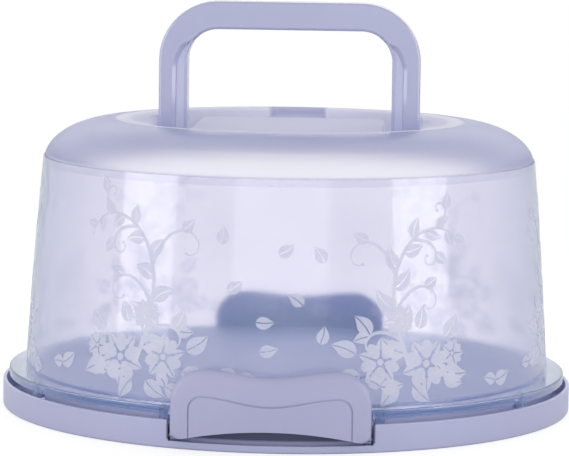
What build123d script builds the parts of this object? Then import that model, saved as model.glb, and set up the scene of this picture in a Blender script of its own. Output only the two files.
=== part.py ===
from build123d import *
import os
from math import asin, degrees, hypot, sqrt

os.makedirs("parts", exist_ok=True)

# A round cake carrier: a shallow tray, a lid made of a clear tapered wall and a frosted top cap,
# a carrying handle that folds rearwards into a well in the cap, and two latches that swing on
# the tray and hook over the lid's flange. Millimetres, +Z up, front towards -Y, and the origin
# on the surface that the tray stands on, at the tray's centre.

# ---------------------------------------------------------------- tray
tray_radius = 145.0
rim_height = 13.6
rim_wall = 2.0
channel_width = 6.5
channel_floor = 2.5
tray_skin = 2.0
platform_height = 20.8
platform_rounding = 1.0
cake_disc_radius = 60.0
cake_disc_rise = 0.8
strip_height = 3.7
foot_rounding = 1.2
underside_rib_count = 12
underside_rib_depth = 4.0
underside_rib_thickness = 1.6
underside_rib_inner_radius = 22.0
lid_seat_height = 15.4

# ---------------------------------------------------------------- lid
lid_wall = 1.6
lid_foot_margin = 3.2
lid_belly_inset = 3.7
lid_shoulder_inset = 8.1
lid_shoulder_height = 127.1
lid_seat_gap = 0.2
lid_locating_gap = 1.2
flange_gap = 1.2
flange_rise = 4.2
flange_thickness = 1.8
flange_edge_rounding = 0.8
skirt_wall = 1.5
skirt_depth = 4.3
tab_width = 4.6
tab_depth = 4.0
tab_reach = 8.2
tab_notch_margin = 3.0
tab_angle_beside_end = 32.0

# ---------------------------------------------------------------- top cap
cap_wall = 1.8
cap_step = 0.7
cap_rise = 18.9
crest_width = 4.0
shoulder_edge_lean = 0.1
shoulder_edge_rise = 0.53
shoulder_crest_reach = 0.87
spigot_length = 4.0
spigot_gap = 0.1
well_side_gap = 2.9
well_floor_gap = 1.5
well_lip_rounding = 1.6
well_corner = 4.0
plateau_drop = 2.6
plateau_gap = 4.1
plateau_corner = 12.0
plateau_rounding = 1.0
scoop_width = 31.0
scoop_reach = 6.0
scoop_depth = 9.0
scoop_end_flat = 0.2
ear_thickness = 4.2
ear_rise = 11.3
ear_half_length = 8.0
ear_corner = 7.0
ear_rounding = 0.8

# ---------------------------------------------------------------- carrying handle
handle_half_width = 66.2
handle_bar = 14.2
handle_leg = 14.3
handle_depth = 16.0
handle_height = 70.0
handle_corner = 30.0
handle_pivot_y = -4.0
handle_pivot_drop = 10.0
handle_edge_rounding = 1.6
handle_side_gap = 0.7
handle_pin_radius = 2.5
shoulder_width = 5.5
shoulder_depth = 2.4
shoulder_run_out = 0.6
bead_width = 1.5
bead_depth = 1.0
handle_skin = 2.4
handle_channel_depth = 9.0
handle_rib_pitch = 16.0
handle_rib_thickness = 1.6
handle_channel_foot_rise = 14.0

# ---------------------------------------------------------------- latches
latch_width = 94.6
latch_wall = 2.2
latch_stand_off = 3.8
latch_ear_height = 38.6
latch_dip_height = 35.8
latch_ear_radius = 16.0
latch_foot_height = 5.3
latch_foot_radius = 4.2
latch_arch_height = 10.8
latch_lean = 3.4
latch_side_gap = 1.1
latch_pivot_inset = 10.0
latch_pivot_z = 5.8
latch_boss_radius = 2.9
latch_boss_length = 3.2
latch_pin_radius = 1.5
cheek_thickness = 2.2
cheek_height = 10.4
hook_half_width = 34.0
hook_thickness = 2.4
hook_clearance = 0.4
hook_drop = 0.2
hook_rib_count = 5
hook_rib_thickness = 1.6
hook_rib_swing = 11.5
hook_rib_rise = 12.0
latch_web_rise = 0.4
latch_web_clearance = 3.0
groove_inset = 9.3
groove_width = 0.8
groove_depth = 0.5
groove_side_height = 26.0
groove_dip_height = 22.2
groove_corner = 6.0

# ---------------------------------------------------------------- shared fits
pin_play = 0.05
cut_margin = 1.0

# ---------------------------------------------------------------- derived sizes
rim_inner_radius = tray_radius - rim_wall
ledge_radius = rim_inner_radius - channel_width
lid_foot_radius = ledge_radius - lid_foot_margin
lid_belly_radius = lid_foot_radius - lid_belly_inset
lid_shoulder_radius = lid_foot_radius - lid_shoulder_inset
lid_foot_inner_radius = lid_foot_radius - lid_wall
platform_radius = lid_foot_inner_radius - lid_locating_gap
lid_bottom = lid_seat_height + lid_seat_gap
flange_radius = rim_inner_radius - flange_gap
flange_top = lid_bottom + flange_rise
skirt_bottom = flange_top - skirt_depth
tab_bottom = flange_top - tab_reach

crest_height = lid_shoulder_height + cap_rise
cap_radius = lid_shoulder_radius - cap_step
spigot_radius = lid_shoulder_radius - lid_wall - spigot_gap
handle_pivot_z = crest_height - handle_pivot_drop
handle_top = handle_pivot_z + handle_height
handle_inner_half = handle_half_width - handle_leg
handle_underside = handle_top - handle_bar
handle_foot_radius = handle_depth / 2
handle_inner_corner = handle_corner - handle_leg
handle_channel_foot = handle_pivot_z + handle_channel_foot_rise
folded_corner_x = handle_half_width - handle_corner
folded_corner_y = handle_pivot_y + handle_height - handle_corner
well_radius = hypot(folded_corner_x, folded_corner_y) + handle_corner + well_side_gap
well_floor = handle_pivot_z - handle_foot_radius - well_floor_gap
crest_radius = well_radius + crest_width
plateau_height = crest_height - plateau_drop
plateau_half_width = handle_inner_half - plateau_gap
plateau_rear = handle_pivot_y + handle_height - handle_bar - plateau_gap
ear_inner = handle_half_width + handle_side_gap
ear_outer = ear_inner + ear_thickness
ear_top = handle_pivot_z + ear_rise

latch_half_width = latch_width / 2
notch_half_width = latch_half_width + latch_side_gap
latch_outer_radius = tray_radius + latch_stand_off
latch_inner_radius = latch_outer_radius - latch_wall
latch_pivot_y = latch_pivot_inset - rim_inner_radius
latch_lean_start = latch_ear_height - latch_ear_radius
hook_tip_radius = flange_radius + hook_clearance
hook_underside = flange_top - hook_drop
latch_web_top = hook_underside + latch_web_rise
latch_web_bottom = strip_height + latch_web_clearance
latch_web_root = -sqrt(latch_inner_radius**2 - latch_half_width**2) - latch_wall / 2


def bars_along_x(inner_x, outer_x, y_centre, z_centre, profile_radius, play):
    """Round bar along X, from inner_x to outer_x on both sides of the middle plane."""
    with BuildPart() as bars:
        for side in (1, -1):
            middle = side * (inner_x + outer_x) / 2
            with Locations(Location((middle, y_centre, z_centre), (0, 90, 0))):
                Cylinder(profile_radius + play, outer_x - inner_x)
    return bars.part


# ---------------------------------------------------------------- tray
# The tray is one thin moulding: a raised platform for the cake, a ledge that the lid stands on,
# a channel, and a low outer rim that is notched front and rear for the latches.
with BuildPart() as base_tray:
    with BuildSketch(Plane.XZ):
        with BuildLine():
            Polyline(
                (0, platform_height - tray_skin),
                (0, platform_height + cake_disc_rise),
                (cake_disc_radius, platform_height + cake_disc_rise),
                (cake_disc_radius + cake_disc_rise, platform_height),
                (platform_radius, platform_height),
                (platform_radius, lid_seat_height),
                (ledge_radius, lid_seat_height),
                (ledge_radius, channel_floor),
                (rim_inner_radius, channel_floor),
                (rim_inner_radius, rim_height),
                (tray_radius, rim_height),
                (tray_radius, 0),
                (ledge_radius - tray_skin, 0),
                (ledge_radius - tray_skin, lid_seat_height - tray_skin),
                (platform_radius - tray_skin, lid_seat_height - tray_skin),
                (platform_radius - tray_skin, platform_height - tray_skin),
                close=True,
            )
        make_face()
    revolve(axis=Axis.Z)
    bottom_circles = base_tray.edges().filter_by(GeomType.CIRCLE).group_by(Axis.Z)[0]
    fillet(bottom_circles.sort_by(SortBy.RADIUS)[-1], foot_rounding)
    platform_circles = base_tray.edges().filter_by_position(Axis.Z, platform_height, platform_height)
    fillet(platform_circles.sort_by(SortBy.RADIUS)[-1], platform_rounding)

    # radial ribs under the platform
    rib_length = platform_radius - tray_skin / 2 - underside_rib_inner_radius
    with BuildSketch(Plane.XY.offset(platform_height - tray_skin - underside_rib_depth)):
        with PolarLocations(underside_rib_inner_radius + rib_length / 2, underside_rib_count):
            Rectangle(rib_length, underside_rib_thickness)
        Circle(underside_rib_inner_radius + underside_rib_thickness)
        Circle(underside_rib_inner_radius, mode=Mode.SUBTRACT)
    extrude(amount=underside_rib_depth + tray_skin / 2)

    # notches in the rim, one in front and one behind, with a low strip left along the bottom
    with BuildSketch(Plane.XY.offset(strip_height)):
        for side in (1, -1):
            with Locations((0, side * tray_radius)):
                Rectangle(2 * notch_half_width, tray_radius)
        Circle(ledge_radius + channel_width / 2, mode=Mode.SUBTRACT)
    extrude(amount=rim_height, mode=Mode.SUBTRACT)

    # cheeks that close the channel beside each notch and carry the latch pins
    with BuildSketch(Plane.XY.offset(channel_floor / 2)):
        for side in (1, -1):
            with Locations((side * (notch_half_width + cheek_thickness / 2), 0)):
                Rectangle(cheek_thickness, 2 * tray_radius)
        Circle(rim_inner_radius + rim_wall / 2, mode=Mode.INTERSECT)
        Circle(ledge_radius - tray_skin / 2, mode=Mode.SUBTRACT)
    extrude(amount=cheek_height - channel_floor / 2)
    for turn in (0, 180):
        bores = bars_along_x(
            notch_half_width - cut_margin,
            notch_half_width + cheek_thickness + cut_margin,
            latch_pivot_y,
            latch_pivot_z,
            latch_pin_radius,
            pin_play,
        )
        add(bores.rotate(Axis.Z, turn), mode=Mode.SUBTRACT)

base_tray.part.label = "base_tray"
export_step(base_tray.part, "parts/base_tray.step")

# ---------------------------------------------------------------- clear wall
# A tapered clear ring. Its foot stands on the tray's ledge, and its flange and skirt reach out
# over the channel. Small wedge tabs under the flange centre the lid in the channel.
belly_height = (flange_top + lid_shoulder_height) / 2
with BuildPart() as clear_wall:
    with BuildSketch(Plane.XZ):
        with BuildLine():
            outside = ThreePointArc(
                (lid_foot_radius, flange_top),
                (lid_belly_radius, belly_height),
                (lid_shoulder_radius, lid_shoulder_height),
            )
            Polyline(
                outside @ 1,
                (lid_shoulder_radius - lid_wall, lid_shoulder_height),
            )
            ThreePointArc(
                (lid_shoulder_radius - lid_wall, lid_shoulder_height),
                (lid_belly_radius - lid_wall, belly_height),
                (lid_foot_inner_radius, flange_top),
            )
            Polyline(
                (lid_foot_inner_radius, flange_top),
                (lid_foot_inner_radius, lid_bottom),
                (lid_foot_radius, lid_bottom),
                (lid_foot_radius, flange_top - flange_thickness),
                (flange_radius - skirt_wall, flange_top - flange_thickness),
                (flange_radius - skirt_wall, skirt_bottom),
                (flange_radius, skirt_bottom),
                (flange_radius, flange_top - flange_edge_rounding),
            )
            TangentArc(
                (flange_radius, flange_top - flange_edge_rounding),
                (flange_radius - flange_edge_rounding, flange_top),
                tangent=(0, 1),
            )
            Line((flange_radius - flange_edge_rounding, flange_top), (lid_foot_radius, flange_top))
        make_face()
    revolve(axis=Axis.Z)

    # wedge tabs, in mirrored pairs beside the latches and beside the two ends
    tab_outer_radius = flange_radius - skirt_wall / 2
    tab_top = flange_top - flange_thickness / 2
    tab_angle_beside_latch = degrees(asin((notch_half_width + tab_notch_margin) / flange_radius))
    for tab_angle in (90 - tab_angle_beside_latch, tab_angle_beside_end):
        for turn in (tab_angle, 180 - tab_angle, 180 + tab_angle, -tab_angle):
            tab_plane = Plane.XZ.rotated((0, 0, turn)).offset(-tab_width / 2)
            with BuildSketch(tab_plane):
                with BuildLine():
                    Polyline(
                        (tab_outer_radius, tab_top),
                        (tab_outer_radius - tab_depth, tab_top),
                        (tab_outer_radius - tab_depth, tab_bottom),
                        (tab_outer_radius - tab_depth / 2, tab_bottom),
                        (tab_outer_radius, skirt_bottom - tab_depth / 2),
                        close=True,
                    )
                make_face()
            extrude(amount=tab_width)

clear_wall.part.label = "clear_wall"
export_step(clear_wall.part, "parts/clear_wall.step")

# ---------------------------------------------------------------- top cap
# The cap is a domed shoulder round a flat-bottomed well, round in front and behind and straight
# beside the handle. A plateau fills the middle of the well, so that the folded handle lies in the
# slots beside and behind it.


def dome(foot_radius, foot_height, top_radius, top_height):
    """Solid under the shoulder curve, from the cap's lower edge to its crest."""
    rise = top_height - foot_height
    with BuildPart() as body:
        with BuildSketch(Plane.XZ):
            with BuildLine():
                shoulder = Bezier(
                    (foot_radius, foot_height),
                    (foot_radius - shoulder_edge_lean * rise, foot_height + shoulder_edge_rise * rise),
                    (foot_radius - shoulder_crest_reach * rise, top_height),
                    (top_radius, top_height),
                )
                Polyline(shoulder @ 1, (0, top_height), (0, foot_height), shoulder @ 0)
            make_face()
        revolve(axis=Axis.Z)
    return body.part


def well_block(growth, floor, top):
    """Well of the cap, grown by a wall or not at all."""
    with BuildPart() as block:
        with BuildSketch(Plane.XY.offset(floor)):
            Circle(well_radius + growth)
            Rectangle(2 * (ear_inner + growth), 2 * crest_radius, mode=Mode.INTERSECT)
        extrude(amount=top - floor)
        fillet(block.edges().filter_by(Axis.Z), well_corner + growth)
    return block.part


def plateau_block(half_width, front_reach, rear, floor, top, corner):
    """Block between the handle's slots, reaching front_reach towards the front of the well."""
    with BuildPart() as block:
        with BuildSketch(Plane.XY.offset(floor)):
            with Locations((0, (rear - front_reach) / 2)):
                Rectangle(2 * half_width, rear + front_reach)
        extrude(amount=top - floor)
        rear_edges = block.edges().filter_by(Axis.Z).group_by(Axis.Y)[-1]
        fillet(rear_edges, corner)
    return block.part


def scoop_block(growth, floor, top):
    """Finger scoop behind the well, open towards it, grown by a wall or not at all."""
    width = scoop_width + 2 * growth
    length = 2 * (scoop_reach + growth)
    with BuildPart() as block:
        with BuildSketch(Plane.XY.offset(floor)):
            with Locations((0, well_radius)):
                RectangleRounded(width, length, scoop_reach - scoop_end_flat + growth)
        extrude(amount=top - floor)
    return block.part


def ear_pair():
    """Ears outside the handle's legs, rounded over the pivot, rising past the crest."""
    ear_foot = well_floor - cap_wall
    with BuildPart() as ears:
        for side in (1, -1):
            with BuildSketch(Plane.YZ.offset(side * (ear_inner + ear_outer) / 2)):
                with Locations((handle_pivot_y, (ear_top + ear_foot) / 2)):
                    ear = Rectangle(2 * ear_half_length, ear_top - ear_foot)
                fillet(ear.vertices().group_by(Axis.Y)[-1], ear_corner)
            extrude(amount=ear_thickness / 2, both=True)
        outline = ears.edges().filter_by(Plane.YZ).filter_by(lambda edge: edge.center().Z > crest_height)
        fillet(outline, ear_rounding)
    return ears.part


scoop_floor = crest_height - scoop_depth
with BuildPart() as cap_hollow:
    add(dome(cap_radius - cap_wall, lid_shoulder_height, crest_radius, crest_height - cap_wall))
    add(well_block(cap_wall, well_floor - cap_wall, crest_height), mode=Mode.SUBTRACT)
    add(scoop_block(cap_wall, scoop_floor - cap_wall, crest_height), mode=Mode.SUBTRACT)
    add(
        plateau_block(
            plateau_half_width - cap_wall,
            crest_radius,
            plateau_rear - cap_wall,
            well_floor - cap_wall - cut_margin,
            plateau_height - cap_wall,
            plateau_corner - cap_wall,
        )
    )

with BuildPart() as plateau:
    add(
        plateau_block(
            plateau_half_width,
            well_radius + cap_wall / 2,
            plateau_rear,
            well_floor,
            plateau_height,
            plateau_corner,
        )
    )
    upper_edges = plateau.edges().group_by(Axis.Z)[-1].sort_by(Axis.Y)
    fillet(upper_edges[1:], plateau_rounding)

with BuildPart() as top_cap:
    add(dome(cap_radius, lid_shoulder_height, crest_radius, crest_height))
    add(well_block(cap_wall, well_floor - cap_wall, plateau_height))
    add(well_block(0, well_floor, crest_height + cut_margin), mode=Mode.SUBTRACT)
    crest_edges = top_cap.edges().group_by(Axis.Z)[-1].sort_by(SortBy.LENGTH)
    fillet(crest_edges[:-1], well_lip_rounding)
    add(plateau.part)
    add(scoop_block(0, scoop_floor, crest_height + cut_margin), mode=Mode.SUBTRACT)
    add(cap_hollow.part, mode=Mode.SUBTRACT)

    # spigot that plugs into the clear wall
    with BuildSketch(Plane.XY.offset(lid_shoulder_height - spigot_length)):
        Circle(spigot_radius)
        Circle(spigot_radius - cap_wall, mode=Mode.SUBTRACT)
    extrude(amount=spigot_length + cap_wall)

    # ears, bosses on the plateau and the bores that the handle's pins turn in
    add(ear_pair())
    add(
        bars_along_x(
            plateau_half_width - cap_wall,
            handle_inner_half - handle_side_gap,
            handle_pivot_y,
            handle_pivot_z,
            handle_pin_radius + cap_wall,
            0,
        )
    )
    add(
        bars_along_x(
            plateau_half_width - cap_wall - cut_margin,
            ear_outer + cut_margin,
            handle_pivot_y,
            handle_pivot_z,
            handle_pin_radius,
            pin_play,
        ),
        mode=Mode.SUBTRACT,
    )

top_cap.part.label = "top_cap"
export_step(top_cap.part, "parts/top_cap.step")

# ---------------------------------------------------------------- carrying handle
# A bail with a flat front face, a stepped and beaded shoulder down the inside of each leg, and
# a ribbed channel in its rear, which faces down when the handle is folded.


def bail(outer_inset, inner_growth, foot):
    """Arch between two parallel outlines of the handle, open at the bottom, drawn from z = foot."""
    outer_half = handle_half_width - outer_inset
    outer_top = handle_top - outer_inset
    inner_half = handle_inner_half + inner_growth
    inner_top = handle_underside + inner_growth
    with BuildSketch() as opening:
        with Locations((0, (inner_top + foot) / 2)):
            Rectangle(2 * inner_half, inner_top - foot)
        fillet(opening.vertices().group_by(Axis.Y)[-1], handle_inner_corner + inner_growth)
    with BuildSketch() as arch:
        with Locations((0, (outer_top + foot) / 2)):
            Rectangle(2 * outer_half, outer_top - foot)
        fillet(arch.vertices().group_by(Axis.Y)[-1], handle_corner - outer_inset)
        add(opening.sketch, mode=Mode.SUBTRACT)
    return arch.sketch


def shoulder_outline(width, top):
    """Area inside the handle's shoulder, width outside the opening's sides, up to a rounded top."""
    with BuildSketch() as area:
        with Locations((0, (top + handle_pivot_z - handle_depth) / 2)):
            Rectangle(2 * (handle_inner_half + width), top - handle_pivot_z + handle_depth)
        fillet(area.vertices().group_by(Axis.Y)[-1], handle_inner_corner + width)
    return area.sketch


def rib_strips():
    """Cross ribs of the handle's rear channel: upright ones in the grip, level ones in the legs."""
    grip_half = handle_half_width - handle_corner
    leg_top = handle_top - handle_corner
    grip_ribs = int(2 * grip_half / handle_rib_pitch) + 1
    leg_ribs = int((leg_top - handle_channel_foot) / handle_rib_pitch) + 1
    leg_middle = (leg_top + handle_channel_foot) / 2
    with BuildSketch() as strips:
        with Locations((0, handle_underside)):
            with GridLocations(handle_rib_pitch, 1, grip_ribs, 1):
                Rectangle(handle_rib_thickness, 2 * handle_leg)
        with Locations((0, leg_middle)):
            with GridLocations(2 * handle_half_width - handle_leg, handle_rib_pitch, 2, leg_ribs):
                Rectangle(handle_leg, handle_rib_thickness)
    return strips.sketch


handle_front = Plane.XZ.offset(handle_depth / 2 - handle_pivot_y)
handle_rear = Plane.XZ.offset(-handle_depth / 2 - handle_pivot_y)
with BuildPart() as carry_handle:
    with BuildSketch(handle_front):
        add(bail(0, 0, handle_pivot_z))
    extrude(amount=-handle_depth)
    upper_edges = carry_handle.edges().filter_by_position(Axis.Z, handle_pivot_z + cut_margin, handle_top)
    fillet(upper_edges.group_by(Axis.Y)[0] + upper_edges.group_by(Axis.Y)[-1], handle_edge_rounding)
    with Locations(Location((0, handle_pivot_y, handle_pivot_z), (0, 90, 0))):
        Cylinder(handle_foot_radius, 2 * handle_half_width)
        Cylinder(handle_foot_radius + cut_margin, 2 * handle_inner_half, mode=Mode.SUBTRACT)

    # stepped shoulder on each leg, with a bead on its inner edge; it runs out in the corner
    with BuildSketch(handle_front):
        add(shoulder_outline(shoulder_width, handle_underside - shoulder_run_out))
    extrude(amount=-bead_depth, mode=Mode.SUBTRACT)
    with BuildSketch(handle_front):
        add(shoulder_outline(shoulder_width, handle_underside - shoulder_run_out))
        add(shoulder_outline(bead_width, handle_underside + bead_width), mode=Mode.SUBTRACT)
    extrude(amount=-shoulder_depth, mode=Mode.SUBTRACT)

    # ribbed channel in the rear
    with BuildSketch(handle_rear):
        add(bail(handle_skin, handle_skin, handle_channel_foot))
        add(rib_strips(), mode=Mode.SUBTRACT)
    extrude(amount=handle_channel_depth, mode=Mode.SUBTRACT)

    add(
        bars_along_x(
            handle_inner_half - cut_margin,
            handle_half_width + cut_margin,
            handle_pivot_y,
            handle_pivot_z,
            handle_pin_radius,
            pin_play,
        ),
        mode=Mode.SUBTRACT,
    )

carry_handle.part.label = "carry_handle"
export_step(carry_handle.part, "parts/carry_handle.step")

# The handle turns on two pins, each held between a boss on the plateau and an outer ear.
with BuildPart() as handle_pins:
    add(bars_along_x(plateau_half_width, ear_outer, handle_pivot_y, handle_pivot_z, handle_pin_radius, 0))

handle_pins.part.label = "handle_pins"
export_step(handle_pins.part, "parts/handle_pins.step")

# ---------------------------------------------------------------- latches
# Each latch is a curved plate with an arched foot and two raised ears, webs and bosses for its
# pins at both ends, and a ribbed hook that swings over the lid's flange. It is drawn at rest,
# upright, with the hook just clear of the flange.


def latch_face():
    """Outline of the latch seen from the front."""
    with BuildSketch() as face:
        with BuildLine():
            dip = Spline(
                (0, latch_dip_height),
                (latch_half_width - latch_ear_radius, latch_ear_height),
                tangents=((1, 0), (1, 0)),
            )
            ear = TangentArc(
                dip @ 1,
                (latch_half_width, latch_ear_height - latch_ear_radius),
                tangent=(1, 0),
            )
            side = Line(ear @ 1, (latch_half_width, latch_foot_height + latch_foot_radius))
            foot = TangentArc(
                side @ 1,
                (latch_half_width - latch_foot_radius, latch_foot_height),
                tangent=(0, -1),
            )
            mirror(about=Plane.YZ)
            ThreePointArc(
                foot @ 1, (0, latch_arch_height), (latch_foot_radius - latch_half_width, latch_foot_height)
            )
        make_face()
    return face.sketch


def panel_face(growth):
    """Outline of the panel inside the groove, grown by the groove's width or not at all."""
    half = latch_half_width - groove_inset + growth
    peak = groove_side_height + growth
    corner = groove_corner + growth
    with BuildSketch() as face:
        with BuildLine():
            dip = Spline(
                (0, groove_dip_height + growth),
                (half - corner, peak),
                tangents=((1, 0), (1, 0)),
            )
            shoulder = TangentArc(dip @ 1, (half, peak - corner), tangent=(1, 0))
            Line(shoulder @ 1, (half, 0))
            mirror(about=Plane.YZ)
            Line((half, 0), (-half, 0))
        make_face()
    return face.sketch


def ring(outer_radius, inner_radius, bottom, top):
    """Round band about the Z axis."""
    with BuildPart() as band:
        with BuildSketch(Plane.XY.offset(bottom)):
            Circle(outer_radius)
            Circle(inner_radius, mode=Mode.SUBTRACT)
        extrude(amount=top - bottom)
    return band.part


with BuildPart() as groove_cutter:
    with BuildSketch(Plane.XZ):
        add(panel_face(groove_width))
        add(panel_face(0), mode=Mode.SUBTRACT)
    extrude(amount=latch_outer_radius + cut_margin)
    add(
        ring(latch_outer_radius + cut_margin, latch_outer_radius - groove_depth, 0, latch_ear_height),
        mode=Mode.INTERSECT,
    )

with BuildPart() as front_latch:
    # curved plate, leaning inwards at the top
    with BuildSketch(Plane.XZ):
        with BuildLine():
            outer = TangentArc(
                (latch_outer_radius, latch_lean_start),
                (latch_outer_radius - latch_lean, latch_ear_height),
                tangent=(0, 1),
            )
            inner = TangentArc(
                (latch_inner_radius, latch_lean_start),
                (latch_inner_radius - latch_lean, latch_ear_height),
                tangent=(0, 1),
            )
            Line(outer @ 1, inner @ 1)
            Polyline(
                outer @ 0,
                (latch_outer_radius, 0),
                (latch_inner_radius, 0),
                inner @ 0,
            )
        make_face()
    revolve(axis=Axis.Z)
    with BuildSketch(Plane.XZ):
        add(latch_face())
    extrude(amount=2 * tray_radius, mode=Mode.INTERSECT)
    add(groove_cutter.part, mode=Mode.SUBTRACT)

    # hook and its stiffening ribs
    with BuildSketch(Plane.XY.offset(hook_underside)):
        Circle(latch_inner_radius + latch_wall / 2)
        Circle(hook_tip_radius, mode=Mode.SUBTRACT)
        with Locations((0, -tray_radius)):
            Rectangle(2 * hook_half_width, tray_radius, mode=Mode.INTERSECT)
    extrude(amount=hook_thickness)
    for index in range(hook_rib_count):
        swing = hook_rib_swing * (2 * index / (hook_rib_count - 1) - 1)
        rib_plane = Plane.XZ.rotated((0, 0, swing - 90)).offset(-hook_rib_thickness / 2)
        with BuildSketch(rib_plane):
            with BuildLine():
                Polyline(
                    (hook_tip_radius + hook_clearance, hook_underside + hook_thickness / 2),
                    (latch_inner_radius + latch_wall / 2, hook_underside + hook_thickness / 2),
                    (latch_inner_radius + latch_wall / 2 - latch_lean / 2, hook_underside + hook_rib_rise),
                    close=True,
                )
            make_face()
        extrude(amount=hook_rib_thickness)

    # webs and bosses at the two ends
    for side in (1, -1):
        with BuildSketch(Plane.YZ.offset(side * (latch_half_width - latch_wall / 2))):
            with BuildLine():
                Polyline(
                    (latch_pivot_y, latch_pivot_z + latch_boss_radius),
                    (latch_web_root, latch_web_top),
                    (latch_web_root, latch_web_bottom),
                    (latch_pivot_y - latch_boss_radius - latch_wall, latch_web_bottom),
                    (latch_pivot_y - latch_boss_radius / 2, latch_pivot_z - latch_boss_radius / 2),
                    (latch_pivot_y, latch_pivot_z),
                    close=True,
                )
            make_face()
        extrude(amount=latch_wall / 2, both=True)
    add(
        bars_along_x(
            latch_half_width - latch_boss_length,
            latch_half_width,
            latch_pivot_y,
            latch_pivot_z,
            latch_boss_radius,
            0,
        )
    )
    add(
        bars_along_x(
            latch_half_width - latch_boss_length - cut_margin,
            latch_half_width + cut_margin,
            latch_pivot_y,
            latch_pivot_z,
            latch_pin_radius,
            pin_play,
        ),
        mode=Mode.SUBTRACT,
    )

# Short pins join the bosses to the tray's cheeks.
with BuildPart() as front_latch_pins:
    add(
        bars_along_x(
            latch_half_width - latch_boss_length,
            notch_half_width + cheek_thickness,
            latch_pivot_y,
            latch_pivot_z,
            latch_pin_radius,
            0,
        )
    )

with BuildPart() as rear_latch:
    add(front_latch.part.rotate(Axis.Z, 180))

with BuildPart() as rear_latch_pins:
    add(front_latch_pins.part.rotate(Axis.Z, 180))

for piece, name in (
    (front_latch, "front_latch"),
    (rear_latch, "rear_latch"),
    (front_latch_pins, "front_latch_pins"),
    (rear_latch_pins, "rear_latch_pins"),
):
    piece.part.label = name
    export_step(piece.part, f"parts/{name}.step")
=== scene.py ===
"""Cake carrier: lavender tray, clear printed wall, frosted cap, folding handle and two latches."""

from math import atan2, copysign, cos, hypot, pi, radians, sin, sqrt

import bmesh
import bpy
from mathutils import Matrix, Vector


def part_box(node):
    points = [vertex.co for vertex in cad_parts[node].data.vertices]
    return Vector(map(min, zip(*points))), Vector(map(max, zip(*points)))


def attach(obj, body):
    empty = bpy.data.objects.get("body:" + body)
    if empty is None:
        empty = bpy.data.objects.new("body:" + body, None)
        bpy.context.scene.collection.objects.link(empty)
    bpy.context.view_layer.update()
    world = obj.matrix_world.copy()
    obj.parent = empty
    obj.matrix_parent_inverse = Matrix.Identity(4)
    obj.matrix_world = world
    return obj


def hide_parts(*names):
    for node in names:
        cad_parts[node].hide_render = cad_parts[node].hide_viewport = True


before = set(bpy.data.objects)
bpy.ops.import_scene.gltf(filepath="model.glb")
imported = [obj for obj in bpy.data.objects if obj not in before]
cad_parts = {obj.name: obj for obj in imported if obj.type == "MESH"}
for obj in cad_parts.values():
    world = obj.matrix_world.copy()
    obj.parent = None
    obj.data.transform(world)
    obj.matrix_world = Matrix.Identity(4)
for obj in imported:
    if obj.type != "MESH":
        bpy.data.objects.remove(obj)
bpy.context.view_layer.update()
mm = 0.001
SAME_PLACE = 0.0001 * mm

# ---------------------------------------------------------------- colours, linear
LAVENDER = (0.445, 0.455, 0.645)
TRAY_FLOW = (0.435, 0.445, 0.645)
# painted shade: a darker tone for what lies inside the tray's rim
TRAY_PAINTED_INSIDE_SHADE = (0.245, 0.29, 0.475)
# painted shade for the tray's deepest slots
TRAY_PAINTED_SLOT_SHADE = (0.36, 0.385, 0.58)
# painted shade in the hollows behind the latches
TRAY_PAINTED_NOTCH_SHADE = (0.085, 0.095, 0.17)
HANDLE_LAVENDER = (0.425, 0.44, 0.635)
HANDLE_FLOW = (0.41, 0.425, 0.62)
# painted light: a lighter tone in the handle's corners, against their shade
HANDLE_PAINTED_CREVICE_LIGHT = (0.60, 0.62, 0.84)
# painted light in the channels down the handle's legs
PAINTED_LEG_CHANNEL_LIGHT = (0.57, 0.58, 0.77)
LATCH_LAVENDER = (0.41, 0.41, 0.595)
LATCH_FLOW = (0.395, 0.40, 0.585)
DEEP_LAVENDER = (0.37, 0.38, 0.56)
# painted shade for the corners and slots of the moulded parts
PAINTED_CREVICE_SHADE = (0.27, 0.295, 0.44)
PAINTED_SLOT_SHADE = (0.035, 0.042, 0.085)
CAP_LAVENDER = (0.80, 0.80, 0.90)
CAP_FLOW = (0.77, 0.77, 0.88)
# painted shade of the cap under its lip, where it turns away from view and in its slots
CAP_PAINTED_SHADE = (0.33, 0.345, 0.53)
# painted shade in the cap's corners
CAP_PAINTED_CREVICE_SHADE = (0.55, 0.56, 0.72)
CAP_GLOW = (0.88, 0.88, 0.97)
CAP_MILK = (0.86, 0.855, 0.94)
CAP_LIGHT = (0.80, 0.80, 0.88)
CLEAR = (0.948, 0.905, 0.955)
CLEAR_FLOW = (0.925, 0.885, 0.94)
CLEAR_EDGE = (0.69, 0.68, 0.78)
CLEAR_MILK = (0.30, 0.62, 0.98)
CLEAR_LIGHT = (0.85, 0.87, 0.94)
FLANGE_TINT = (0.64, 0.67, 0.80)
INK = (0.725, 0.725, 0.825)
PALE_INK = (0.765, 0.765, 0.855)
INK_BACKLIGHT = (0.90, 0.90, 0.95)
FLOOR = (0.86, 0.86, 0.87)
FLOOR_SEEN = (0.42, 0.42, 0.42)
WHITE = (1.0, 1.0, 1.0)

# ---------------------------------------------------------------- light levels
STUDIO_WALLS = 0.82
STUDIO_CEILING = 0.55
REAR_GLOW = 1.3
FLOOR_FILL = 0.68

# ---------------------------------------------------------------- sizes
tray_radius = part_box("base_tray")[1].x
cap_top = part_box("top_cap")[1].z
rim_top = 13.6 * mm
# how far the painted corner and slot shade looks for open air
CREVICE_WIDTH = 12 * mm
FINE_CREVICE_WIDTH = 9 * mm

# the wall's outer surface: an arc through three radii
foot_radius, foot_height = 133.3 * mm, 19.8 * mm
belly_radius = 129.6 * mm
shoulder_radius, shoulder_height = 125.2 * mm, 127.1 * mm
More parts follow.
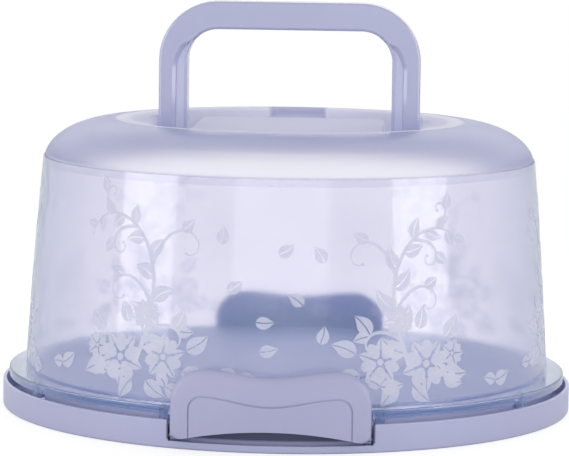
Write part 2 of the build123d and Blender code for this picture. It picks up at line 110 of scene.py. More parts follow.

# soft borders of masks, as (where it starts, where it is full)
# border of the painted shade inside the tray's rim
INSIDE_RIM = (14 * mm, 16 * mm)  # height on the tray
# borders of the painted shade in the notches behind the latches
NOTCH_SIDE = (49.4 * mm, 48.9 * mm)  # from the middle of a latch notch
NOTCH_REACH = (17 * mm, 16 * mm)  # in from the tray's edge
NOTCH_FLOOR = (3.8 * mm, 5.2 * mm)  # height
NOTCH_TOP = (14.4 * mm, 13.8 * mm)  # height
# borders of the painted light in the channels down the handle's legs
CHANNEL_FRONT = (1.5 * mm, 1.9 * mm)  # behind the front of the handle's legs
CHANNEL_BACK = (3.2 * mm, 2.6 * mm)  # the same
CHANNEL_SIDE = (58.4 * mm, 57.9 * mm)  # from the middle of the handle
WELL = (90 * mm, 87 * mm)  # radius on the cap
PLATEAU = (82 * mm, 80 * mm)  # radius on the cap
PLATEAU_LEVEL = (5 * mm, 4 * mm)  # below the cap's top
# borders of the painted shade under the cap's lip
LIP_TOP = (0.3 * mm, 1.4 * mm)  # below the cap's top
LIP_FOOT = (10 * mm, 4 * mm)  # below the cap's top
SKIRT = (cap_top - 3 * mm, shoulder_height + 10 * mm)  # height
DOME_FOOT = (shoulder_height - 1 * mm, shoulder_height + 2 * mm)  # height
FLANGE_TOP = (19.6 * mm, 20.4 * mm)  # height
PRINT_FADE = (50 * mm, 85 * mm)  # height
FLOOR_FADE = (0.30, 0.75)  # distance from the middle of the floor
NOISE_RANGE = (0.3, 0.7)  # most of what a noise gives
FLOW_RANGE = (0.35, 0.70)  # noise that shows as flow in the plastic
WORN_RANGE = (0.62, 0.80)  # noise that shows as handling marks
# open-air ranges for the painted shade in corners and slots
CORNER_RANGE = (0.05, 0.85)  # share of open air, from a corner to a plain face
DEEP_RANGE = (0.02, 0.30)  # share of open air, from a slot to a corner


def wall_radius(height):
    """Radius of the wall's outer surface at a height."""
    t = (height - foot_height) / (shoulder_height - foot_height)
    straight = foot_radius + (shoulder_radius - foot_radius) * t
    bow = belly_radius - (foot_radius + shoulder_radius) / 2
    return straight + 4 * bow * t * (1 - t)


# ---------------------------------------------------------------- node helpers
class Nodes:
    """Short way to add nodes to a tree and join them."""

    def __init__(self, tree):
        self.tree = tree

    def add(self, kind, settings=(), **inputs):
        """New node; an underscore in an input's name stands for a space."""
        node = self.tree.nodes.new(kind)
        for name, value in dict(settings).items():
            setattr(node, name, value)
        for name, value in inputs.items():
            self.feed(node.inputs[name.replace("_", " ")], value)
        return node

    def feed(self, socket, value):
        """Gives a socket another socket, a node's first output or a plain value."""
        if isinstance(value, bpy.types.NodeSocket):
            self.tree.links.new(value, socket)
        elif isinstance(value, bpy.types.Node):
            self.tree.links.new(value.outputs[0], socket)
        elif isinstance(value, tuple) and len(value) == 3 and socket.type == "RGBA":
            socket.default_value = (*value, 1)
        else:
            socket.default_value = value

    def place(self):
        """Place on the piece, in its own coordinates."""
        return self.add("ShaderNodeTexCoord").outputs["Object"]

    def axes(self):
        """The same as three numbers: X across, Y to the rear, Z up."""
        return self.add("ShaderNodeSeparateXYZ", Vector=self.place()).outputs

    def math(self, operation, first, second=0.0):
        """Result of a Math node."""
        node = self.add("ShaderNodeMath", {"operation": operation})
        self.feed(node.inputs[0], first)
        self.feed(node.inputs[1], second)
        return node.outputs[0]

    def product(self, first, *others):
        """All the given values multiplied."""
        for other in others:
            first = self.math("MULTIPLY", first, other)
        return first

    def vector(self, operation, first, second=None):
        """Vector Math node."""
        node = self.add("ShaderNodeVectorMath", {"operation": operation})
        self.feed(node.inputs[0], first)
        if second is not None:
            self.feed(node.inputs[1], second)
        return node

    def mix(self, share, first, second):
        """Colour between two colours."""
        node = self.add("ShaderNodeMix", {"data_type": "RGBA"})
        self.feed(node.inputs[0], share)
        self.feed(node.inputs[6], first)
        self.feed(node.inputs[7], second)
        return node.outputs[2]

    def span(self, value, low, high, to_low=0.0, to_high=1.0):
        """Value eased from one number to another while it goes from low to high."""
        node = self.add("ShaderNodeMapRange", {"interpolation_type": "SMOOTHSTEP"})
        for socket, given in zip(node.inputs, (value, low, high, to_low, to_high)):
            self.feed(socket, given)
        return node.outputs[0]

    def eased(self, mask, without, within):
        """One number where a mask is empty and another where it is full."""
        return self.span(mask, 0.0, 1.0, without, within)


def new_material(name):
    """Empty node material and its helper."""
    material = bpy.data.materials.new(name)
    material.use_nodes = True
    material.node_tree.nodes.clear()
    return material, Nodes(material.node_tree)


def mix_shader(nodes, share, first, second):
    """Shader between two shaders."""
    node = nodes.add("ShaderNodeMixShader")
    for socket, given in zip(node.inputs, (share, first, second)):
        nodes.feed(socket, given)
    return node


def lets_light_in(nodes, surface, tint):
    """Lamps and bounced light pass straight through a clear wall, tinted."""
    path = nodes.add("ShaderNodeLightPath").outputs
    passing = nodes.math("MAXIMUM", path["Is Shadow Ray"], path["Is Diffuse Ray"])
    through = nodes.add("ShaderNodeBsdfTransparent", Color=tint)
    return mix_shader(nodes, passing, surface, through)


# ---------------------------------------------------------------- finishes
def moulded_finish():
    """Shared effect: uneven tint of moulded plastic, faint handling marks, a satin grain, and painted
    shade in corners and slots by how little open air reaches them.
    """
    group = bpy.data.node_groups.new("moulded finish", "ShaderNodeTree")
    for name, kind, start in (
        ("Tint", "NodeSocketColor", (*LAVENDER, 1)),
        ("Flow Tint", "NodeSocketColor", (*DEEP_LAVENDER, 1)),
        ("Gloss", "NodeSocketFloat", 0.4),
        ("Grain Size", "NodeSocketFloat", 2200.0),
        ("Grain", "NodeSocketFloat", 0.1),
        ("Painted Crevice Shading", "NodeSocketColor", (*PAINTED_CREVICE_SHADE, 1)),
        ("Painted Slot Shading", "NodeSocketColor", (*PAINTED_SLOT_SHADE, 1)),
        ("Crevice Width", "NodeSocketFloat", CREVICE_WIDTH),
    ):
        socket = group.interface.new_socket(name=name, in_out="INPUT", socket_type=kind)
        socket.default_value = start
    for name, kind in (
        ("Color", "NodeSocketColor"),
        ("Roughness", "NodeSocketFloat"),
        ("Height", "NodeSocketFloat"),
    ):
        group.interface.new_socket(name=name, in_out="OUTPUT", socket_type=kind)

    nodes = Nodes(group)
    given = nodes.add("NodeGroupInput").outputs
    place = nodes.place()
    flow = nodes.add("ShaderNodeTexNoise", Vector=place, Scale=22.0, Detail=3.0, Roughness=0.55)
    upright = nodes.add("ShaderNodeMapping", Vector=place, Scale=(900.0, 900.0, 60.0))
    marks = nodes.add("ShaderNodeTexNoise", Vector=upright, Scale=1.0, Detail=2.0)
    grain = nodes.add("ShaderNodeTexNoise", Vector=place, Scale=given["Grain Size"], Detail=1.0)
    # painted shade: corners and slots take darker colours by how little open air reaches them
    open_air = nodes.add(
        "ShaderNodeAmbientOcclusion", {"samples": 8}, Distance=given["Crevice Width"]
    ).outputs["AO"]
    flowing = nodes.span(flow.outputs["Fac"], *FLOW_RANGE)
    worn = nodes.span(marks.outputs["Fac"], *WORN_RANGE)

    tint = nodes.mix(flowing, given["Tint"], given["Flow Tint"])
    deep = nodes.span(open_air, *DEEP_RANGE)
    painted_crevice_shading = nodes.mix(deep, given["Painted Slot Shading"], given["Painted Crevice Shading"])
    tint = nodes.mix(nodes.span(open_air, *CORNER_RANGE), painted_crevice_shading, tint)
    rough = nodes.math("ADD", nodes.product(worn, 0.12), given["Gloss"])
    rough = nodes.math("ADD", rough, nodes.product(flowing, 0.05))
    height = nodes.product(grain.outputs["Fac"], given["Grain"])
    height = nodes.math("SUBTRACT", height, nodes.product(worn, 0.05))
    out = nodes.add("NodeGroupOutput")
    nodes.feed(out.inputs["Color"], tint)
    nodes.feed(out.inputs["Roughness"], rough)
    nodes.feed(out.inputs["Height"], height)
    return group


finish_group = moulded_finish()


def finish_node(nodes, tint, flow_tint, gloss, grain, painted_crevice_shading, deep, crevice_width):
    """The shared finish with one material's own values."""
    node = nodes.add("ShaderNodeGroup", {"node_tree": finish_group})
    for name, value in (
        ("Tint", tint),
        ("Flow Tint", flow_tint),
        ("Gloss", gloss),
        ("Grain", grain),
        ("Painted Crevice Shading", painted_crevice_shading),
        ("Painted Slot Shading", deep),
        ("Crevice Width", crevice_width),
    ):
        nodes.feed(node.inputs[name], value)
    return node.outputs


def moulded_plastic(
    name,
    tint,
    flow_tint,
    gloss,
    grain,
    coat=0.0,
    painted_crevice_shading=PAINTED_CREVICE_SHADE,
    deep=PAINTED_SLOT_SHADE,
    painted_inside_shade=None,
    painted_notch_shade=None,
    painted_channel_light=None,
):
    """Satin moulded plastic.

    The inside and notch colours are painted shade on what lies inside the tray's rim and in the
    hollows behind the latches; the channel colour is painted light in the channels down the handle's
    legs.
    """
    material, nodes = new_material(name)
    place = nodes.axes()
    across = nodes.math("ABSOLUTE", place["X"])
    # painted light: the leg channels get a lighter colour than the face
    if painted_channel_light:
        behind_front = nodes.math("SUBTRACT", place["Y"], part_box("carry_handle")[0].y)
        channel = nodes.product(
            nodes.span(behind_front, *CHANNEL_FRONT),
            nodes.span(behind_front, *CHANNEL_BACK),
            nodes.span(across, *CHANNEL_SIDE),
        )
        tint = nodes.mix(channel, tint, painted_channel_light)
        flow_tint = nodes.mix(channel, flow_tint, painted_channel_light)
    # painted shade on everything inside the tray's rim
    if painted_inside_shade:
        inside = nodes.span(place["Z"], *INSIDE_RIM)
        tint = nodes.mix(inside, tint, painted_inside_shade)
        flow_tint = nodes.mix(inside, flow_tint, painted_inside_shade)
    # painted shade in the notch pockets behind the latches
    if painted_notch_shade:
        from_edge = nodes.math("SUBTRACT", tray_radius, nodes.math("ABSOLUTE", place["Y"]))
        notch = nodes.product(
            nodes.span(across, *NOTCH_SIDE),
            nodes.span(from_edge, *NOTCH_REACH),
            nodes.span(place["Z"], *NOTCH_FLOOR),
            nodes.span(place["Z"], *NOTCH_TOP),
        )
        tint = nodes.mix(notch, tint, painted_notch_shade)
        flow_tint = nodes.mix(notch, flow_tint, painted_notch_shade)
        painted_crevice_shading = nodes.mix(notch, painted_crevice_shading, painted_notch_shade)
        deep = nodes.mix(notch, deep, PAINTED_SLOT_SHADE)
    finish = finish_node(nodes, tint, flow_tint, gloss, grain, painted_crevice_shading, deep, FINE_CREVICE_WIDTH)
    surface = nodes.add(
        "ShaderNodeBsdfPrincipled",
        Base_Color=finish["Color"],
        Roughness=finish["Roughness"],
        Normal=nodes.add(
            "ShaderNodeBump", Strength=0.12, Distance=0.2 * mm, Height=finish["Height"]
        ),
        IOR=1.49,
        Coat_Weight=coat,
        Coat_IOR=1.65,
        Coat_Roughness=0.10,
    )
    nodes.add("ShaderNodeOutputMaterial", Surface=surface)
    return material


def clear_plastic():
    """Clarified plastic: sharp near by, soft behind, with a blue milkiness and a deeper flange."""
    material, nodes = new_material("clear plastic")
    place = nodes.place()
    haze = nodes.add("ShaderNodeTexNoise", Vector=place, Scale=26.0, Detail=3.0).outputs["Fac"]
    ripple = nodes.add("ShaderNodeTexNoise", Vector=place, Scale=60.0, Detail=2.0).outputs["Fac"]
    facing = nodes.add("ShaderNodeLayerWeight", Blend=0.5).outputs["Facing"]
    clear = nodes.mix(nodes.span(haze, *NOISE_RANGE), CLEAR, CLEAR_FLOW)
    clear = nodes.mix(nodes.span(facing, 0.14, 0.85), clear, CLEAR_EDGE)
    above_flange = nodes.span(nodes.axes()["Z"], *FLANGE_TOP)
    surface = nodes.add(
        "ShaderNodeBsdfPrincipled",
        Base_Color=nodes.mix(above_flange, FLANGE_TINT, clear),
        Roughness=nodes.span(haze, *NOISE_RANGE, 0.07, 0.10),
        Normal=nodes.add("ShaderNodeBump", Strength=0.10, Distance=0.4 * mm, Height=ripple),
        IOR=1.45,
        Transmission_Weight=1.0,
    )
    milk = nodes.add("ShaderNodeBsdfDiffuse", Color=CLEAR_MILK)
    milk_share = 0.055
    body = lets_light_in(nodes, mix_shader(nodes, milk_share, surface, milk), CLEAR_LIGHT)
    nodes.add("ShaderNodeOutputMaterial", Surface=body)
    return material


def printed_ink():
    """Frosted ink of the wall's print, half see-through, and more so from its under side."""
    material, nodes = new_material("printed ink")
    place = nodes.place()
    speckle = nodes.add("ShaderNodeTexNoise", Vector=place, Scale=900.0, Detail=2.0).outputs["Fac"]
    surface = nodes.add(
        "ShaderNodeBsdfPrincipled",
        Base_Color=nodes.mix(speckle, INK, PALE_INK),
        Roughness=0.5,
        Alpha=nodes.product(
            nodes.span(speckle, *NOISE_RANGE, 0.64, 0.70),
            nodes.span(nodes.axes()["Z"], *PRINT_FADE, 1.0, 0.62),
        ),
        IOR=1.45,
    )
    backlight = nodes.add("ShaderNodeBsdfTranslucent", Color=INK_BACKLIGHT)
    backlight_share = 0.26
    shown = mix_shader(nodes, backlight_share, surface, backlight)
    inner_faces = nodes.add("ShaderNodeNewGeometry").outputs["Backfacing"]
    normal = nodes.add("ShaderNodeTexCoord").outputs["Normal"]
    outwards = nodes.vector("DOT_PRODUCT", place, normal).outputs["Value"]
    under_side = nodes.span(outwards, 0.02, -0.02)
    faint = nodes.math(
        "MAXIMUM", nodes.product(inner_faces, 0.6), nodes.product(under_side, 0.78)
    )
    nothing = nodes.add("ShaderNodeBsdfTransparent", Color=WHITE)
    nodes.add("ShaderNodeOutputMaterial", Surface=mix_shader(nodes, faint, shown, nothing))
    return material


def cap_plastic():
    """Frosted cap: light comes through it, least where it curves away, and its gloss is broad;
    painted shade darkens it under the lip, where it turns away from view and in its corners.
    """
    material, nodes = new_material("cap plastic")
    # the finish's corner and slot colours here are painted shade
    finish = finish_node(
        nodes, CAP_LAVENDER, CAP_FLOW, 0.36, 0.10, CAP_PAINTED_CREVICE_SHADE, CAP_PAINTED_SHADE, CREVICE_WIDTH
    )
    height = nodes.axes()["Z"]
    below_top = nodes.math("SUBTRACT", cap_top, height)
    level = nodes.vector("MULTIPLY", nodes.place(), (1.0, 1.0, 0.0))
    radius = nodes.vector("LENGTH", level).outputs["Value"]
    facing = nodes.add("ShaderNodeLayerWeight", Blend=0.5).outputs["Facing"]
    square_on = nodes.span(facing, 0.14, 0.52, 1.0, 0.0)

    well = nodes.span(radius, *WELL)
    plateau = nodes.product(
        nodes.span(radius, *PLATEAU),
        nodes.span(below_top, *PLATEAU_LEVEL),
    )
    # painted shade just under the lip
    under_lip = nodes.product(
        nodes.span(below_top, *LIP_TOP),
        nodes.span(below_top, *LIP_FOOT),
        nodes.eased(well, 1.0, 0.0),
    )
    skirt = nodes.span(height, *SKIRT, 0.0, 0.92)
    dome = nodes.math("MAXIMUM", well, nodes.span(height, *DOME_FOOT))
    # painted shade: darker where the cap turns away from view and under the lip
    painted_cap_shade = nodes.math(
        "MAXIMUM", nodes.span(facing, 0.20, 0.75), nodes.product(under_lip, 0.8)
    )

    surface = nodes.add(
        "ShaderNodeBsdfPrincipled",
        Base_Color=nodes.mix(painted_cap_shade, finish["Color"], CAP_PAINTED_SHADE),
        Roughness=finish["Roughness"],
        Normal=nodes.add(
            "ShaderNodeBump", Strength=0.10, Distance=0.2 * mm, Height=finish["Height"]
        ),
        Alpha=nodes.eased(dome, 0.12, 1.0),
        IOR=1.38,
        Transmission_Weight=0.72,
        Coat_Weight=0.15,
        Coat_Roughness=0.22,
    )
    glow = nodes.add("ShaderNodeBsdfTranslucent", Color=CAP_GLOW)
    glow_share = nodes.product(dome, nodes.eased(well, 0.22, 0.6))
    milk = nodes.add("ShaderNodeBsdfDiffuse", Color=CAP_MILK)
    milk_share = nodes.math(
        "MAXIMUM", nodes.product(skirt, square_on), nodes.product(well, 0.8)
    )
    milk_share = nodes.product(milk_share, dome, nodes.eased(plateau, 1.0, 0.6))
    frosted = mix_shader(nodes, glow_share, surface, glow)
    frosted = mix_shader(nodes, milk_share, frosted, milk)
    body = lets_light_in(nodes, frosted, CAP_LIGHT)
    nodes.add("ShaderNodeOutputMaterial", Surface=body)
    return material


tray_plastic = moulded_plastic(
    "tray plastic",
    LAVENDER,
    TRAY_FLOW,
    gloss=0.33,
    grain=0.08,
    painted_crevice_shading=LAVENDER,
    deep=TRAY_PAINTED_SLOT_SHADE,
    painted_inside_shade=TRAY_PAINTED_INSIDE_SHADE,
    painted_notch_shade=TRAY_PAINTED_NOTCH_SHADE,
)
# the handle's crevice and channel colours are lighter: painted light against their shade
handle_plastic = moulded_plastic(
    "handle plastic",
    HANDLE_LAVENDER,
    HANDLE_FLOW,
    gloss=0.30,
    grain=0.08,
    coat=1.0,
    painted_crevice_shading=HANDLE_PAINTED_CREVICE_LIGHT,
    deep=HANDLE_PAINTED_CREVICE_LIGHT,
    painted_channel_light=PAINTED_LEG_CHANNEL_LIGHT,
)
latch_plastic = moulded_plastic(
    "latch plastic", LATCH_LAVENDER, LATCH_FLOW, gloss=0.45, grain=0.14
)
pin_plastic = moulded_plastic("pin plastic", DEEP_LAVENDER, LAVENDER, gloss=0.4, grain=0.08)
wall_plastic = clear_plastic()
ink = printed_ink()
frosted_plastic = cap_plastic()


# ---------------------------------------------------------------- softened moulded pieces
def new_piece(name, form, material):
    """Object at the origin made from a finished form."""
    mesh = bpy.data.meshes.new(name)
    form.to_mesh(mesh)
    form.free()
    mesh.materials.append(material)
    piece = bpy.data.objects.new(name, mesh)
    bpy.context.scene.collection.objects.link(piece)
    return piece


def merged_copy(node):
    """Mesh of a CAD piece with its loose triangles joined and its flat faces made whole."""
    form = bmesh.new()
    form.from_mesh(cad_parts[node].data)
    bmesh.ops.remove_doubles(form, verts=form.verts, dist=0.001 * mm)
    bmesh.ops.dissolve_limit(form, angle_limit=radians(0.5), verts=form.verts, edges=form.edges)
    return form


def sharp_edges(form, test, angle=radians(50)):
    """Edges sharper than the angle whose two ends both pass the test."""
    return [
        edge
        for edge in form.edges
        if edge.is_manifold
        and edge.calc_face_angle() > angle
        and all(test(vert.co) for vert in edge.verts)
    ]


def round_edges(form, edges, width):
    """Rounds the given edges off."""
    bmesh.ops.bevel(
        form,
        geom=edges,
        offset=width,
        affect="EDGES",
        segments=3,
        profile=0.5,
        material=-1,
        clamp_overlap=False,
    )


def soft_piece(form, name, node, body, material):
    """Makes the piece that stands for a CAD node, smooth but for its sharpest edges."""
    for face in form.faces:
        face.smooth = True
    for edge in form.edges:
        edge.smooth = not (edge.is_manifold and edge.calc_face_angle() > radians(42))
    piece = new_piece(name, form, material)
    even = piece.modifiers.new("even shading", "WEIGHTED_NORMAL")
    even.keep_sharp = True
    even.weight = 100
    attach(piece, body)
    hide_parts(node)
    return piece


def split_long(form, edges, longest):
    """Puts corners into edges longer than the given length, and returns all their parts."""
    parts = [edge for edge in edges if edge.calc_length() <= longest]
    for edge in [edge for edge in edges if edge.calc_length() > longest]:
        cuts = int(edge.calc_length() / longest)
        made = bmesh.ops.bisect_edges(form, edges=[edge], cuts=cuts)["geom_split"]
        parts += [item for item in made if isinstance(item, bmesh.types.BMEdge)]
    return list(dict.fromkeys(parts))


def edge_runs(edges):
    """The given edges joined end to end, as lists of corners."""
    at_corner = {}
    for edge in edges:
        for vert in edge.verts:
            at_corner.setdefault(vert, []).append(edge)
    runs = []
    for first in [vert for vert in at_corner if len(at_corner[vert]) == 1]:
        if any(first in run for run in runs):
            continue
        run = [first]
        edge = at_corner[first][0]
        while edge:
            run.append(edge.other_vert(run[-1]))
            onward = [other for other in at_corner[run[-1]] if other is not edge]
            edge = onward[0] if onward else None
        runs.append(run)
    return runs


def roll_rings(points, place, inside, profile, ease):
    """Places of the profile at each point (x, z) of a run, turned to face the skin."""
    pairs = list(zip(points, points[1:]))
    travelled = [0.0]
    turn = 0.0
    for (x, z), (next_x, next_z) in pairs:
        travelled.append(travelled[-1] + hypot(next_x - x, next_z - z))
        turn += (x - inside[0]) * (next_z - inside[1]) - (next_x - inside[0]) * (z - inside[1])
    hand = 1 if turn > 0 else -1
    whole = travelled[-1]
    window = 1.6 * mm
    rings = []
    for (x, z), here in zip(points, travelled):
        along_x = along_z = 0.0
        for (before, after), start, end in zip(pairs, travelled, travelled[1:]):
            weight = max(0.0, window - abs((start + end) / 2 - here))
            along_x += weight * (after[0] - before[0])
            along_z += weight * (after[1] - before[1])
        length = max(hypot(along_x, along_z), 1e-12)
        in_x = -hand * along_z / length
        in_z = hand * along_x / length
        share = min(1.0, here / ease, (whole - here) / ease)
        rings.append(
            [
                place(x + in_x * inset * share, z + in_z * inset * share, depth * share)
                for inset, depth in profile
            ]
        )
    return rings


def rolled_edge(form, run, place, on_skin, inside, profile, ease):
    """Rolls a moulding's edge over along a run of corners.

    The facets here are shorter than the roll, where the bevel operator leaves nicks. So the edge
    is split, and the skin's side is extruded ring by ring until it meets the wall again.
    place(x, z, depth) gives a point below the skin, profile lists (inset, depth) from the skin
    to the wall, inside is a point (x, z) on the skin's side, and ease is the run-out at both ends.
    """
    rings = roll_rings([(vert.co.x, vert.co.z) for vert in run], place, inside, profile, ease)
    spots = [vert.co.copy() for vert in run]
    for face in form.faces:
        face.tag = all(on_skin(vert.co) for vert in face.verts)
    edges = [form.edges.get(ends) for ends in zip(run, run[1:])]
    bmesh.ops.split_edges(form, edges=edges)

    skin_side = []
    wall_side = []
    for spot in spots:
        twins = [vert for vert in form.verts if (vert.co - spot).length < SAME_PLACE]
        skin = [vert for vert in twins if vert.link_faces and all(f.tag for f in vert.link_faces)]
        wall = [vert for vert in twins if vert not in skin]
        skin_side.append((skin or wall)[0])
        wall_side.append((wall or skin)[0])
    for skin, wall, ring in list(zip(skin_side, wall_side, rings))[1:-1]:
        skin.co = ring[0]
        wall.co = ring[-1]

    row = skin_side
    for step in range(1, len(profile)):
        edges = [form.edges.get(ends) for ends in zip(row, row[1:])]
        made = set(bmesh.ops.extrude_edge_only(form, edges=edges)["geom"])
        links = [[edge.other_vert(vert) for edge in vert.link_edges] for vert in row]
        row = [next(vert for vert in ends if vert in made) for ends in links]
        for vert, ring in zip(row, rings):
            vert.co = ring[step]
    bmesh.ops.weld_verts(form, targetmap=dict(zip(row, wall_side)))
    bmesh.ops.remove_doubles(form, verts=form.verts, dist=SAME_PLACE)
    bmesh.ops.recalc_face_normals(form, faces=form.faces)


def soft_handle():
    """Handle with a sloped ridge down the inside of each leg and softened beads."""
    form = merged_copy("carry_handle")
    low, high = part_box("carry_handle")
    front = low.y
    foot = low.z + 6 * mm
    bead_front = front + 1.0 * mm
    longest_facet = 2.0 * mm
    run_out = 4 * mm
    bead = sharp_edges(form, lambda at: abs(at.y - bead_front) < 0.02 * mm and at.z > foot)
    round_edges(form, bead, 0.45 * mm)

    def place(x, z, depth):
        return Vector((x, front + depth, z))

    def on_front(at):
        return at.y < front + 0.01 * mm

    slope = [
        (2.2 * mm, 0.0),
        (1.95 * mm, 0.07 * mm),
        (1.2 * mm, 0.58 * mm),
        (0.35 * mm, 1.15 * mm),
        (0.08 * mm, 1.4 * mm),
        (0.0, 1.7 * mm),
    ]
    ridge = sharp_edges(form, lambda at: on_front(at) and at.z > foot)
    for run in edge_runs(split_long(form, ridge, longest_facet)):
        on_leg = (copysign(high.x - 4 * mm, run[0].co.x), (low.z + high.z) / 2)
        rolled_edge(form, run, place, on_front, on_leg, slope, run_out)
    soft_piece(form, "carry_handle_soft", "carry_handle", "handle", handle_plastic)


def soft_latch(node, body, side):
    """Latch whose outline rolls over like a pillow; side is -1 in front and 1 behind."""
    form = merged_copy(node)
    low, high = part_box(node)
    half = (high.x - low.x) / 2
    outer_radius = max(hypot(vert.co.x, vert.co.y) for vert in form.verts)
    lean_radius = 39.35 * mm
    lean_start = 22.6 * mm
    roll_width = 2.6 * mm
    roll_depth = 1.6 * mm
    roll_steps = 6
    clear_width = 5.5 * mm
    side_band = half - 8.4 * mm
    top_band = high.z - 5.5 * mm
    run_out = 3 * mm

    def radius_at(z):
        up = max(0.0, z - lean_start)
        return outer_radius - lean_radius + sqrt(lean_radius**2 - up**2)

    def place(x, z, depth):
        return Vector((x, side * sqrt((radius_at(z) - depth) ** 2 - x**2), z))

    def on_skin(at):
        return at.y * side > 0 and abs(radius_at(at.z) - hypot(at.x, at.y)) < 0.2 * mm

    def on_outline(at):
        return on_skin(at) and (abs(at.x) > side_band or at.z > top_band)

    run = max(edge_runs(sharp_edges(form, on_outline, radians(30))), key=len)
    outline = [(vert.co.x, vert.co.z) for vert in run]
    kept = set(run)

    def in_the_way(vert):
        if vert in kept or not all(on_skin(end.co) for edge in vert.link_edges for end in edge.verts):
            return False
        return min(hypot(x - vert.co.x, z - vert.co.z) for x, z in outline) < clear_width

    bmesh.ops.dissolve_verts(form, verts=[vert for vert in form.verts if in_the_way(vert)])
    turns = [radians(90 * step / roll_steps) for step in range(roll_steps + 1)]
    roll = [(roll_width * (1 - sin(turn)), roll_depth * (1 - cos(turn))) for turn in turns]
    rolled_edge(form, run, place, on_skin, (0.0, high.z / 2), roll, run_out)
    bmesh.ops.triangulate(form, faces=[face for face in form.faces if len(face.verts) > 4])
    soft_piece(form, node + "_soft", node, body, latch_plastic)


def soft_tray():
    """Tray with the top of its rim softened."""
    form = merged_copy("base_tray")
    rim_inside = tray_radius - 2.6 * mm

    def on_rim(at):
        return hypot(at.x, at.y) > rim_inside and at.z > rim_top - 0.05 * mm

    round_edges(form, sharp_edges(form, on_rim), 0.55 * mm)
    soft_piece(form, "base_tray_soft", "base_tray", "tray", tray_plastic)


soft_handle()
soft_latch("front_latch", "latch_front", -1)
soft_latch("rear_latch", "latch_rear", 1)
soft_tray()

for node, material in (
    ("base_tray", tray_plastic),
    ("clear_wall", wall_plastic),
    ("top_cap", frosted_plastic),
    ("carry_handle", handle_plastic),
    ("handle_pins", pin_plastic),
    ("front_latch", latch_plastic),
    ("rear_latch", latch_plastic),
    ("front_latch_pins", pin_plastic),
    ("rear_latch_pins", pin_plastic),
):
    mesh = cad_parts[node].data
    mesh.materials.clear()
    mesh.materials.append(material)


# ---------------------------------------------------------------- the print on the wall
INK_LIFT = 0.05 * mm
INK_THICKNESS = 0.12 * mm
LAYER = 0.006 * mm
LAYERS = 14
LOOK_AHEAD = 0.01  # share of a path
SPRAY_FOOT = 38 * mm

# sprays round the wall: place in mm, hand, share of the full height
SPRAYS = (
    (-68, 1, 1.0),
    (66, -1, 0.94),
    (-195, 1, 0.95),
    (195, -1, 1.0),
    (-320, 1, 0.9),
    (320, -1, 0.95),
)
# curls of a spray: share up its stem, reach in mm, turn
CURLS = ((0.10, 40, 1.0), (0.20, 50, -0.9), (0.36, 52, 0.85), (0.55, 36, -1.0), (0.72, 26, 0.9))
# blossoms of a spray: across and up in mm, size in mm, turn
BLOSSOMS = ((-9, 1, 13, 0.3), (15, 3, 11, 0.9), (5, 22, 8, 0.1), (-24, 5, 7, 0.6))
# leaves round the blossoms: across and up in mm, bearing, length in mm
CLUSTER_LEAVES = (
    (-18, -3, 3.4, 15),
    (-2, -9, 4.0, 12),
    (6, -9, -0.7, 13),
    (25, -3, -0.3, 15),
    (27, 7, 0.5, 13),
    (-20, 13, 2.3, 13),
    (20, 16, 1.0, 12),
    (-5, 18, 1.9, 11),
)
# loose leaves between the two front sprays: place and height in mm, bearing
LOOSE_LEAVES = (
    (-22, 74, 0.5),
    (-8, 60, -0.1),
    (14, 68, 2.4),
    (22, 50, 1.2),
    (-6, 46, 0.1),
    (2, 92, 0.4),
    (-26, 96, 1.3),
    (24, 88, 2.0),
)


def beside(path, t, distance):
    """Point at a distance to the left of a path."""
    u, v = path(t)
    ahead_u, ahead_v = path(t + LOOK_AHEAD)
    length = hypot(ahead_u - u, ahead_v - v) or 1
    return u - (ahead_v - v) / length * distance, v + (ahead_u - u) / length * distance


def bearing_at(path, t):
    """Direction in which a path runs."""
    u, v = path(t)
    ahead_u, ahead_v = path(t + LOOK_AHEAD)
    return atan2(ahead_v - v, ahead_u - u)


def blade(t):
    """Width of a leaf along its length, from 0 to 1 and back."""
    return sin(pi * min(max(t, 0.0), 1.0) ** 0.72) ** 1.3


def curl_path(u, v, bearing, length, turns):
    """Path that starts straight and winds into a curl; turns may be negative."""
    steps = 60
    points = [(u, v)]
    for index in range(steps):
        t = index / steps
        heading = bearing + 2 * pi * turns * t**1.7
        reach = length / steps * (1.25 - 0.75 * t)
        u += reach * cos(heading)
        v += reach * sin(heading)
        points.append((u, v))

    def path(t):
        place = min(max(t, 0.0), 1.02) * steps
        low = min(int(place), steps - 1)
        share = place - low
        (low_u, low_v), (high_u, high_v) = points[low : low + 2]
        return low_u + (high_u - low_u) * share, low_v + (high_v - low_v) * share

    return path


